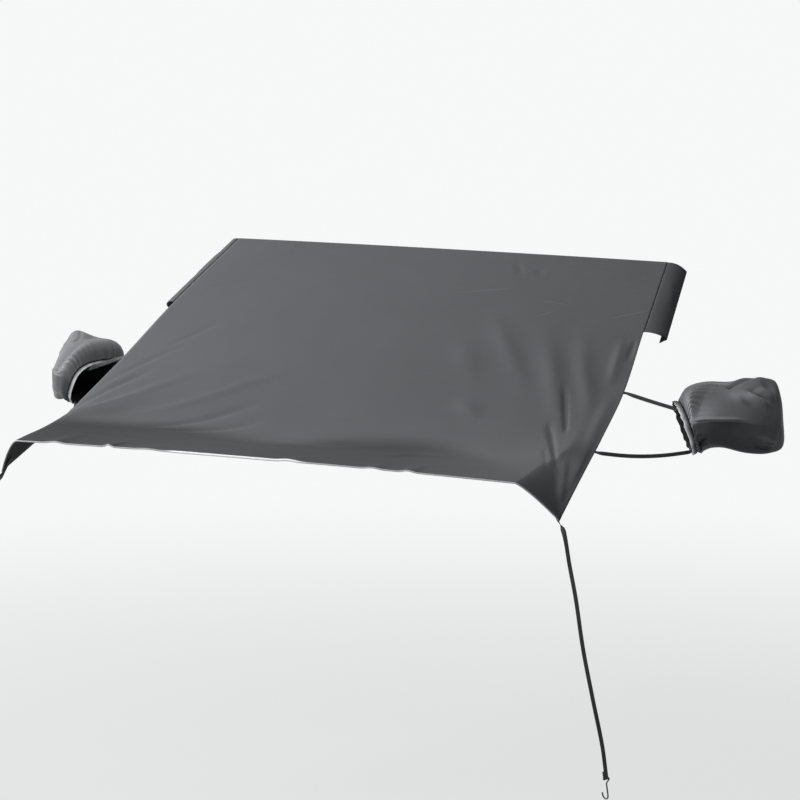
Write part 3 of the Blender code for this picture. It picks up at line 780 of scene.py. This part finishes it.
def ribbon(name, centres, widths, width, material, sign):
    """A flat strap with rounded edges, its width squared to its run."""
    section = [(across * width, height * ELASTIC) for across, height in STRAP_SECTION]
    last = len(centres) - 1
    rows = []
    for place, (centre, wide) in enumerate(zip(centres, widths)):
        run = (centres[min(place + 1, last)] - centres[max(place - 1, 0)]).normalized()
        wide = (wide - run * wide.dot(run)).normalized()
        thick = run.cross(wide)
        rows.append([tuple(centre + wide * across + thick * height) for across, height in section])
    points = np.array(rows)
    lengths = run_lengths(np.array(centres))
    uv = np.zeros((*points.shape[:2], 2))
    uv[..., 0] = np.array([across for across, height in section])
    uv[..., 1] = lengths[:, None]
    item = grid_object(name, points * np.array((sign, 1.0, 1.0)), uv, material, closed=True)
    close_ends(item)
    return item


# Pieces

def make_camera():
    back = direction(AZIMUTH, ELEVATION)
    data = bpy.data.cameras.new("camera")
    data.lens = LENS
    data.sensor_width = SENSOR
    data.clip_end = 500.0
    camera = new_object("camera", data)
    camera.location = LOOKS_AT + back * DISTANCE
    camera.rotation_euler = (-back).to_track_quat("-Z", "Y").to_euler()
    bpy.context.scene.camera = camera


def hook_frame():
    """End of the wheel strap, and the directions along it, across it and outwards there."""
    before, end = [seam_point(1.0) + step for step in WHEEL_STRAP_ROUTE[-2:]]
    run = (end - before).normalized()
    outward = (HOOK_OUTWARD - run * HOOK_OUTWARD.dot(run)).normalized()
    return end, run, outward.cross(run).normalized(), outward


def make_wheel_straps(material, wire):
    end, run, width, outward = hook_frame()
    loop = HOOK_WIRE + GAP + ELASTIC * 0.5
    depth = HEM_CLOTH + STRAP_EASE + ELASTIC * 0.5
    across, down = CORNER_SEAT
    seat = under_panel(across, down, depth)
    corner = under_panel(1.0, 1.0, depth + STRAP_EASE)
    centres = smooth_route([seat, corner, *[seam_point(1.0) + step for step in WHEEL_STRAP_ROUTE]],
                           WHEEL_STRAP_STEPS)
    seat_width = (corner - seat).cross(panel_normal(across, down)).normalized()
    widths = []
    for step in range(len(centres)):
        share = float(smoothstep(step / WHEEL_STRAP_STEPS / WHEEL_STRAP_TURN))
        widths.append(seat_width.lerp(width, share))
    bar = end + run * LOOP_DROP - outward * loop
    turned = [centres[-1] + run * GAP]
    for step in range(LOOP_STEPS + 1):
        turn = math.pi * step / LOOP_STEPS
        turned.append(bar + outward * loop * math.cos(turn) + run * loop * math.sin(turn))
    turned.append(bar - outward * (loop - GAP) - run * LOOP_TAIL)
    for side, sign in SIDES:
        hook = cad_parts["wheel_hook_" + side]
        hook.data.materials.clear()
        hook.data.materials.append(wire)
        strap = ribbon("wheel_elastic_" + side, centres, widths, WHEEL_ELASTIC_WIDTH, material, sign)
        turn_back = ribbon("wheel_elastic_loop_" + side, turned, [width] * len(turned),
                           WHEEL_ELASTIC_WIDTH, material, sign)
        for item in (strap, turn_back):
            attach(item, "root")
        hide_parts("wheel_strap_" + side)


def panel_grid():
    """Finer on the side where the folds are."""
    plain = np.linspace(-1.0, FOLDED_FROM, PLAIN_COLUMNS, endpoint=False)
    fine = np.linspace(FOLDED_FROM, 1.0, FOLDED_COLUMNS + 1)
    return np.concatenate((plain, fine)), np.linspace(0.0, 1.0, PANEL_ROWS + 1)


def panel_skin():
    across, down = panel_grid()
    points = np.array([panel_row(across, place) for place in down])
    normals = surface_normals(points)
    wide, high = PANEL_SIZE
    flat = np.stack(np.meshgrid(across * wide * 0.5, down * high), axis=-1)
    height = folded(flat, PANEL_FOLDS, np.array((wide * 0.5, high)))
    height *= smoothstep((1.0 - np.abs(across)) / EDGE_KEEPS)[None, :]
    in_hem = flat[..., 1] - (high - HEM_DEPTH)
    height += HEM_STEP * smoothstep(in_hem / HEM_STEP_RUN)
    height -= HEM_GROOVE * np.exp(-((in_hem - HEM_GROOVE_DOWN) / HEM_GROOVE_WIDTH) ** 2)
    return points + normals * height[..., None], flat


def painted_panel_light_and_shade():
    """Painted shade on the flatter stretch above the hem and painted light on the strip, over the panel.
    """
    across, down = panel_grid()
    columns = []
    for place in across:
        starts, depth = through(PAINTED_SHADE_LINE, float(place))
        line = STRIP_ACROSS + STRIP_SLOPE * np.maximum(down - STRIP_TURNS, 0.0)
        strip = smoothstep((place - line) / STRIP_SOFT[0])
        strip *= smoothstep((down - STRIP_DOWN) / STRIP_SOFT[1])
        # Painted shade above the hem; the strip takes painted light in its place
        painted_shade = smoothstep((down - starts) / PAINTED_SHADE_SOFT + 0.5) * depth
        columns.append(painted_shade * (1.0 - strip) - STRIP_PAINTED_LIGHT * strip)
    return np.stack(columns, axis=-1)


def make_hem_edge(points, normals, material):
    """Rounded lower edge with painted light all along, and a painted highlight and a fuller round along
    the stretch that catches the light.
    """
    across, down = panel_grid()
    starts, ends = HEM_SHINE
    soft_start, soft_end = HEM_SHINE_SOFT
    centres = []
    pale_and_highlight = []
    sizes = []
    for column, place in enumerate(across):
        point = Vector(points[-1, column]) - Vector(normals[-1, column]) * HEM_CLOTH * 0.5
        forward = (Vector(points[-1, column]) - Vector(points[-2, column])).normalized()
        shine = float(smoothstep((place - starts) / soft_start) * smoothstep((ends - place) / soft_end))
        centres.append(point + forward * (HEM_CLOTH * 0.5 + GAP))
        pale_and_highlight.append(HEM_PAINTED_LIGHT + (1.0 - HEM_PAINTED_LIGHT) * shine)
        sizes.append(HEM_CLOTH * (HEM_ROUND[0] + HEM_ROUND[1] * shine))
    return bead("hem_edge", centres, sizes, material, pale_and_highlight)


def make_roof_edge(points, normals, material):
    centres = []
    for column in range(0, points.shape[1], 2):
        point = Vector(points[0, column]) - Vector(normals[0, column]) * CLOTH * 0.5
        backward = (Vector(points[0, column]) - Vector(points[1, column])).normalized()
        centres.append(point + backward * (ROOF_ROUND + GAP))
    return bead("roof_edge", centres, [ROOF_ROUND] * len(centres), material, [ROOF_PALE] * len(centres))


def make_panel(material, edge):
    points, flat = panel_skin()
    item = grid_object("panel_cloth", points[::-1], flat[::-1], material,
                       marks={"painted_light_and_shade": painted_panel_light_and_shade()[::-1]})
    hem = item.vertex_groups.new(name="hem")
    hem.add(list(range(points.shape[1])), 1.0, "ADD")
    thicken(item, HEM_CLOTH, group="hem", thin=CLOTH / HEM_CLOTH)
    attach(item, "root")
    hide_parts("windshield_panel")
    normals = surface_normals(points)
    edges = [make_hem_edge(points, normals, edge), make_roof_edge(points, normals, edge)]
    for piece in edges:
        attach(piece, "root")


def flap_skin():
    clear = 2.0 * PIPING + 2.0 * GAP
    outer_top = seam_point(0.0) + FLAP_OUTER_TOP
    outer_end = seam_point(SEAM_END) + FLAP_OUTER_END
    rows = []
    for step in range(FLAP_ROWS + 1):
        share = step / FLAP_ROWS
        down = share * SEAM_END
        outward = seam_outward(down)
        start = seam_point(down) + outward * clear
        outer = outer_top.lerp(outer_end, share)
        bend = start + outward * (outer - start).length * FLAP_BEND
        row = []
        for column in range(FLAP_COLUMNS + 1):
            part = column / FLAP_COLUMNS
            row.append(start.lerp(bend, part).lerp(bend.lerp(outer, part), part))
        turn = (outer - bend).normalized()
        lip = [outer, *[outer + turn * on + FLAP_INWARD * inward for on, inward in FLAP_LIP]]
        row.extend(smooth_route(lip, FLAP_LIP_STEPS)[1:])
        rows.append([tuple(point) for point in row])
    points = np.array(rows)
    steps = np.linalg.norm(np.diff(points, axis=1), axis=2)
    places = np.concatenate((np.zeros((points.shape[0], 1)), np.cumsum(steps, axis=1)), axis=1)
    runs = np.linspace(0.0, FLAP_RUN, points.shape[0])[:, None] * np.ones((1, points.shape[1]))
    return points, np.stack((places, runs), axis=-1)


def make_flaps(material, piping):
    points, uv = flap_skin()
    normals = surface_normals(points)
    along = uv[..., 1]
    out = uv[..., 0]
    waves = np.sin(along * 210.0 + 2.0 * np.sin(along * 37.0))
    puckers = PUCKER * waves * np.exp(-out / PUCKER_REACH)
    points = points + normals * (puckers + folded(uv, (FLAP_FOLD,), 1.0))[..., None]
    for side, sign in SIDES:
        shape = mirror(points, sign)
        item = grid_object("flap_cloth_" + side, shape[::-1], mirror_uv(uv, sign)[::-1], material)
        thicken(item, CLOTH)
        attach(item, "root")
        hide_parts("door_flap_" + side)
        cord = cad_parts["flap_piping_" + side]
        cord.data.materials.clear()
        cord.data.materials.append(piping)


def mirror_uv(uv, sign):
    return uv if sign > 0 else uv[:, ::-1]


def pouch_axes(turn, lean):
    depth = np.array((turn, math.sqrt(1.0 - turn * turn), 0.0))
    height = np.array((lean, 0.0, math.sqrt(1.0 - lean * lean)))
    return depth, height


def pouch_ring(angles, along, side, gathered=True):
    """Outer skin of the pouch at one station, for an array of angles."""
    x, y, z, half, up, down, turn, lean = through(POUCH_MOUTHS[side] + POUCH_BODY, along)
    depth_axis, height_axis = pouch_axes(turn, lean)
    cosine, sine = np.cos(angles), np.sin(angles)
    front = np.where(sine > 0.0, POUCH_FRONT_UPPER, POUCH_FRONT_LOWER)
    corner = np.where(cosine > 0.0, POUCH_REAR, front)
    corner = corner + (MOUTH_CORNER - corner) * smoothstep(1.0 - along / MOUTH_REACH)
    power = 2.0 / corner
    swell = 1.0
    if gathered:
        fade = max(1.0 - along / GATHER_REACH, 0.0)
        wave = np.cos(GATHERS * angles + 1.3 * np.sin(3.0 * angles) + 0.7 * np.sin(7.0 * angles))
        strength = 0.65 + 0.35 * np.sin(5.0 * angles + 1.0)
        swell = 1.0 + GATHER_DEPTH * POUCH_SLACK[side] / half * fade * wave * strength
    depth = np.copysign(np.abs(cosine) ** power, cosine) * half * swell
    height = np.copysign(np.abs(sine) ** power, sine) * np.where(sine > 0.0, up, down) * swell
    points = np.array((x, y, z)) + depth[:, None] * depth_axis + height[:, None] * height_axis
    share = np.clip((points - HORN_ROOT) @ HORN_RIDGE / (HORN_RIDGE @ HORN_RIDGE), 0.0, 1.0)
    gap = np.linalg.norm(points - HORN_ROOT - share[:, None] * HORN_RIDGE, axis=1)
    near = (1.0 - share) * np.exp(-(gap / HORN_RADIUS) ** 2)
    return points + near[:, None] * HORN_RISE


def pouch_point(degrees, along, side):
    return Vector(pouch_ring(np.array([math.radians(degrees)]), along, side, gathered=False)[0])


def mouth_axis(side):
    turn, lean = POUCH_MOUTHS[side][0][-2:]
    depth_axis, height_axis = pouch_axes(turn, lean)
    return Vector(depth_axis).cross(Vector(height_axis)).normalized()


def mouth_normal(degrees, side):
    step = 1.2
    axis = mouth_axis(side)
    round_it = pouch_point(degrees + step, 0.0, side) - pouch_point(degrees - step, 0.0, side)
    outwards = pouch_point(degrees, 0.02, side) - pouch_point(degrees, 0.0, side)
    normal = round_it.cross(outwards).normalized()
    return (normal - axis * normal.dot(axis)).normalized()


def pouch_skin(side):
    angles = np.linspace(0.0, 2.0 * math.pi, POUCH_AROUND, endpoint=False)
    places = np.linspace(0.0, 1.0, POUCH_ALONG + 1) ** POUCH_SPACING
    points = np.array([pouch_ring(angles, place, side) for place in places])
    lengths = run_lengths(points[:, POUCH_AROUND // 4])
    uv = np.stack(np.meshgrid(angles * POUCH_GIRTH, lengths), axis=-1)
    normals = surface_normals(points)
    height = folded(uv, POUCH_FOLDS, np.array((math.radians(POUCH_GIRTH), lengths[-1])))
    height *= POUCH_SLACK[side]
    return points - normals * height[..., None], uv


def painted_pouch_light_and_shade(uv, side):
    """Painted shade under the front ridge, painted light above it and a painted highlight on the horn,
    over the pouch's grid.
    """
    degrees = np.degrees(uv[..., 0] / POUCH_GIRTH)
    start, end = UNDER_RIDGE
    soft_start, soft_end = UNDER_RIDGE_SOFT
    under = smoothstep((degrees - start) / soft_start) * smoothstep((end - degrees) / soft_end)
    along = uv[..., 1] / uv[-1, 0, 1]
    over = smoothstep((degrees - OVER_RIDGE) / OVER_RIDGE_SOFT)
    over *= 1.0 - smoothstep((degrees - start) / soft_start)
    over *= smoothstep((OVER_RIDGE_END - along) / 0.35)
    painted_shade = UNDER_RIDGE_PAINTED_SHADE * under * smoothstep((1.0 - along) / 0.35)
    away = ((degrees - HORN_HIGHLIGHT_AT[0]) / HORN_HIGHLIGHT_REACH[0]) ** 2
    away += ((along - HORN_HIGHLIGHT_AT[1]) / HORN_HIGHLIGHT_REACH[1]) ** 2
    # Painted shade under the ridge, less the painted light above it and the painted highlight on the
    # horn
    return painted_shade - OVER_RIDGE_PAINTED_LIGHT[side] * over - HORN_PAINTED_HIGHLIGHT[side] * np.exp(-away)


def make_pouches(cloth, edge):
    tip = np.array((POUCH_BODY[-1][1] + POUCH_TIP, *POUCH_BODY[-1][2:4]))
    for side, sign in SIDES:
        points, uv = pouch_skin(side)
        shape = points * np.array((sign, 1.0, 1.0))
        item = grid_object("pouch_cloth_" + side, shape, uv, cloth, closed=True,
                           tip=tip * np.array((sign, 1.0, 1.0)),
                           marks={"painted_light_and_shade": painted_pouch_light_and_shade(uv, side)})
        if sign < 0:
            flip(item)
        thicken(item, CLOTH)
        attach(item, "root")
        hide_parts("mirror_pouch_" + side)
        frill = make_frill(side, sign, edge)


def flip(item):
    data = bmesh.new()
    data.from_mesh(item.data)
    bmesh.ops.reverse_faces(data, faces=data.faces)
    data.to_mesh(item.data)
    data.free()


def make_frill(side, sign, material):
    """Ruffled casing round the mouth, with a painted highlight along the front of its rim."""
    axis = mouth_axis(side)
    rings = [[] for place in FRILL_PROFILE]
    for degrees in np.arange(FRILL_AROUND) * 360.0 / FRILL_AROUND:
        turn = math.radians(degrees)
        wave = math.sin(FRILL_WAVES * turn + 1.6 * math.sin(3.0 * turn))
        wave *= 0.7 + 0.3 * math.sin(5.0 * turn)
        normal = mouth_normal(degrees, side)
        base = pouch_point(degrees, 0.0, side) - axis * GAP
        for ring, (inboard, rise, pale_and_highlight) in zip(rings, FRILL_PROFILE):
            reach = MOUTH_BAND * inboard * (1.0 + FRILL_SWING * wave * inboard)
            bulge = rise + 1.1 * MOUTH_RUFFLE * wave * inboard
            ring.append(tuple(base - axis * reach + normal * bulge))
    # Painted highlight only along the front of the rim
    front = smoothstep(0.45 - 0.9 * np.cos(2.0 * math.pi * np.arange(FRILL_AROUND) / FRILL_AROUND))
    pale_and_highlight_rows = [pale_and_highlight * front for inboard, rise, pale_and_highlight in FRILL_PROFILE]
    points = np.array([*rings, rings[0]]) * np.array((sign, 1.0, 1.0))
    uv = np.stack(np.meshgrid(np.arange(FRILL_AROUND) * 0.0015, np.arange(len(points)) * 0.002), axis=-1)
    item = grid_object("pouch_frill_" + side, points, uv, material, closed=True,
                       marks={"pale_and_highlight": np.array([*pale_and_highlight_rows, pale_and_highlight_rows[0]])})
    data = bmesh.new()
    data.from_mesh(item.data)
    bmesh.ops.remove_doubles(data, verts=data.verts, dist=0.00001)
    bmesh.ops.recalc_face_normals(data, faces=data.faces)
    data.to_mesh(item.data)
    data.free()
    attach(item, "root")
    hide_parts("pouch_elastic_" + side)
    return item


def mirror_strap_line(side, down, degrees, sag):
    """Centres and widths of one mirror strap, from under the panel to inside the pouch's mouth."""
    axis = mouth_axis(side)
    depth = CLOTH + STRAP_EASE + ELASTIC * 0.5
    sewn = under_panel(1.0 - STRAP_SEWN / seam_point(down).x, down, depth)
    leaves = under_panel(1.0, down, depth) + seam_outward(down) * 0.5 * ELASTIC_WIDTH
    wall = MOUTH_THICKNESS + MOUTH_RUFFLE + MOUTH_EASE + ELASTIC * 0.5
    normal = mouth_normal(degrees, side)
    lip = pouch_point(degrees, 0.0, side) - axis * MOUTH_BAND - normal * wall
    inside = lip + axis * (MOUTH_BAND - GAP)
    free = []
    for share in STRAP_PLACES:
        free.append(leaves.lerp(lip, share) + HANGING * 4.0 * share * (1.0 - share) * sag)
    centres = smooth_route([sewn, leaves, *free, lip, inside], STRAP_STEPS)
    length = run_lengths(np.array(centres))[-1]
    edge_run = seam_run(down)
    round_mouth = axis.cross(normal)
    widths = []
    for step in range(STRAP_STEPS + 1):
        gone = length * step / STRAP_STEPS
        leaving = float(smoothstep((gone - STRAP_LIES) / STRAP_TURN))
        entering = float(smoothstep(1.0 - (length - gone - STRAP_LIES_IN) / STRAP_TURN_IN))
        widths.append(edge_run.lerp(HANGING, leaving).lerp(round_mouth, entering))
    return centres, widths


def make_mirror_straps(material):
    for level, down, degrees, sag in MIRROR_STRAPS:
        for side, sign in SIDES:
            centres, widths = mirror_strap_line(side, down, degrees[side], sag)
            item = ribbon("mirror_elastic_%s_%s" % (level, side), centres, widths, ELASTIC_WIDTH,
                          material, sign)
            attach(item, "root")
            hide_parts("mirror_strap_%s_%s" % (level, side))


def area_light(name, azimuth, elevation, distance, size, power):
    data = bpy.data.lights.new(name, "AREA")
    data.shape = "DISK"
    data.size = size
    data.energy = power
    lamp = new_object(name, data)
    back = direction(math.radians(azimuth), math.radians(elevation))
    lamp.location = back * distance
    lamp.rotation_euler = (-back).to_track_quat("-Z", "Y").to_euler()


def sees_background(tree):
    """1 for the rays that see the background: the camera's, and those off gloss and through glass."""
    rays = add_node(tree, "LightPath").outputs
    glass = math_node(tree, "MAXIMUM", rays["Is Glossy Ray"], rays["Is Transmission Ray"])
    return math_node(tree, "MAXIMUM", rays["Is Camera Ray"], glass)


def mix_shaders(tree, share, plain, shown, out):
    mix = add_node(tree, "MixShader")
    feed(tree, mix.inputs[0], share)
    feed(tree, mix.inputs[1], plain.outputs[0])
    feed(tree, mix.inputs[2], shown.outputs[0])
    feed(tree, out.inputs["Surface"], mix.outputs[0])


def make_world():
    world = bpy.data.worlds.new("studio")
    bpy.context.scene.world = world
    world.use_nodes = True
    tree = world.node_tree
    tree.nodes.clear()
    light = add_node(tree, "Background", Color=SKY, Strength=SKY_LIGHT)
    seen = add_node(tree, "Background", Color=PAPER, Strength=1.0)
    mix_shaders(tree, sees_background(tree), light, seen, add_node(tree, "OutputWorld"))


def floor_material():
    """Pale paper: plain to the camera far off, with the object's soft shadow near it."""
    material, tree, shader = new_material("studio_floor")
    feed_all(tree, shader, Base_Color=FLOOR_COLOUR, Roughness=0.9, Specular_IOR_Level=0.0)
    place = add_node(tree, "NewGeometry").outputs["Position"]
    near, far = FLOOR_FADE
    ramp = add_node(tree, "MapRange", Value=vector_node(tree, "LENGTH", place), From_Min=near,
                    From_Max=far, To_Min=FLOOR_PLAIN, To_Max=1.0)
    ramp.interpolation_type = "SMOOTHSTEP"
    share = math_node(tree, "MULTIPLY", ramp.outputs["Result"], sees_background(tree))
    glow = add_node(tree, "Emission", Color=PAPER)
    mix_shaders(tree, share, shader, glow, tree.nodes["Material Output"])
    return material


def make_studio():
    make_world()
    mesh = bpy.data.meshes.new("studio_floor")
    corners = [(-1.0, -1.0), (1.0, -1.0), (1.0, 1.0), (-1.0, 1.0)]
    mesh.from_pydata([(x * FLOOR_SIZE, y * FLOOR_SIZE, FLOOR_HEIGHT) for x, y in corners], [],
                     [(0, 1, 2, 3)])
    mesh.materials.append(floor_material())
    new_object("studio_floor", mesh)
    for light in LIGHTS:
        area_light(*light)


def main():
    bpy.context.scene.view_settings.view_transform = "Standard"
    make_camera()
    woven = elastic_material("woven_elastic", WOVEN_COLOUR)
    make_wheel_straps(woven, coated_wire_material("hook_coating", WIRE_COLOUR))
    cloth = cloth_material("cover_cloth", COVER_COLOUR, 0.62, mottle=0.08, drag=0.0020, creases=CREASES)
    pouch = cloth_material("pouch_cloth", POUCH_COLOUR, 0.50, specular=0.16, drag=0.0010)
    make_panel(cloth, two_tone_material("turned_edge", *EDGE_AND_HIGHLIGHT_COLOURS))
    make_flaps(cloth, elastic_material("seam_piping", PIPING_AND_SEAM_SHADOW_COLOUR))
    make_pouches(pouch, two_tone_material("mouth_frill", *FRILL_AND_HIGHLIGHT_COLOURS))
    make_mirror_straps(woven)
    make_studio()


main()
